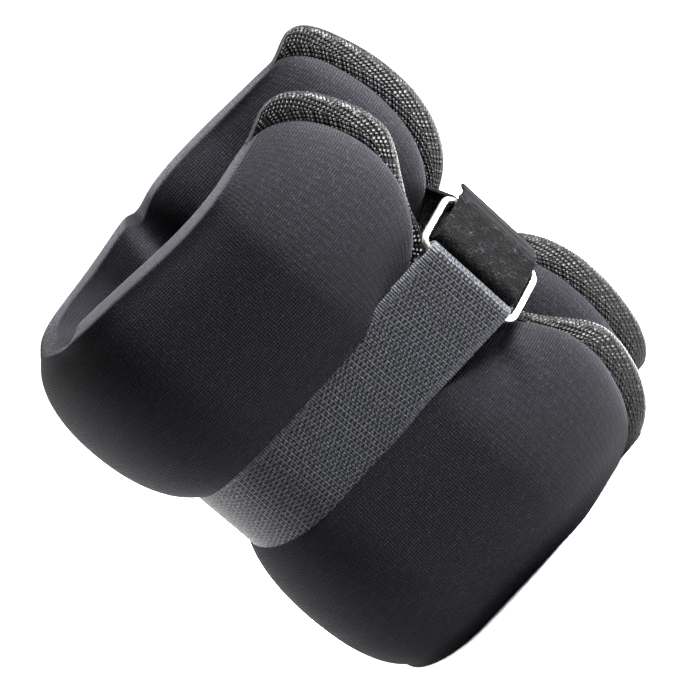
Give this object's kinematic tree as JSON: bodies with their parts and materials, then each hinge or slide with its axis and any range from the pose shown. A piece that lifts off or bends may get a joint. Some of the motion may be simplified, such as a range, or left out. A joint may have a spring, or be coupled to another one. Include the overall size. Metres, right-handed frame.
{
  "type": "ankle cuff weight",
  "caption": "Wrap-around limb weight: padded C-shaped sleeve with filled upper and lower lobes, cinched at the waist by a strap that closes through a wire ring.",
  "frame": {"origin": "under the middle of the cuff's bounding box, on the plane that the lower rim stands on", "axes": "+Z along the limb axis, from the lower rim to the upper rim; +X from the bend towards the closure and its ring; -Y towards the front panel"},
  "size_m": [0.1671, 0.113, 0.182],
  "materials": {
    "neoprene": "matt nylon jersey bonded to neoprene foam, fine ribs round the cuff",
    "binding_tape": "black polyester herringbone tape with a slight shine",
    "webbing": "dark grey herringbone webbing",
    "loop_tape": "brushed black loop pile",
    "hook_tape": "smooth black nylon backing with moulded hooks on its inner face",
    "ring_steel": "bright nickel plate on bent steel wire",
    "pouch_liner": "woven plastic liner, hidden in the sleeve",
    "sand": "fine heavy sand, hidden in the pouches"
  },
  "bodies": {
    "front": {"cover_front": "neoprene", "pouch_front_lower": "pouch_liner", "sand_front_lower": "sand", "pouch_front_upper": "pouch_liner", "sand_front_upper": "sand", "pouch_bend_lower": "pouch_liner", "sand_bend_lower": "sand", "pouch_bend_upper": "pouch_liner", "sand_bend_upper": "sand", "binding_front": "binding_tape", "strap_front": "webbing"},
    "back": {"cover_back": "neoprene", "pouch_back_lower": "pouch_liner", "sand_back_lower": "sand", "pouch_back_upper": "pouch_liner", "sand_back_upper": "sand", "binding_back": "binding_tape", "strap_back": "webbing", "loop_strap_back": "loop_tape"},
    "ring": {"ring": "ring_steel", "loop_strap_fold": "loop_tape"},
    "tab": {"hook_tab": "hook_tape"}
  },
  "joints": [
    {"name": "back_open", "type": "hinge", "parent": "front", "child": "back", "pos_m": [-0.018, 0.0566, 0.091], "axis": [0, 0, 1], "range_deg": [0, 25]},
    {"name": "ring_swing", "type": "hinge", "parent": "front", "child": "ring", "pos_m": [0.0491, -0.0435, 0.091], "axis": [0, 0, -1], "range_deg": [0, 15]},
    {"name": "tab_peel", "type": "hinge", "parent": "ring", "child": "tab", "pos_m": [0.0708, -0.0261, 0.091], "axis": [0, 0, -1], "range_deg": [0, 110]}
  ]
}
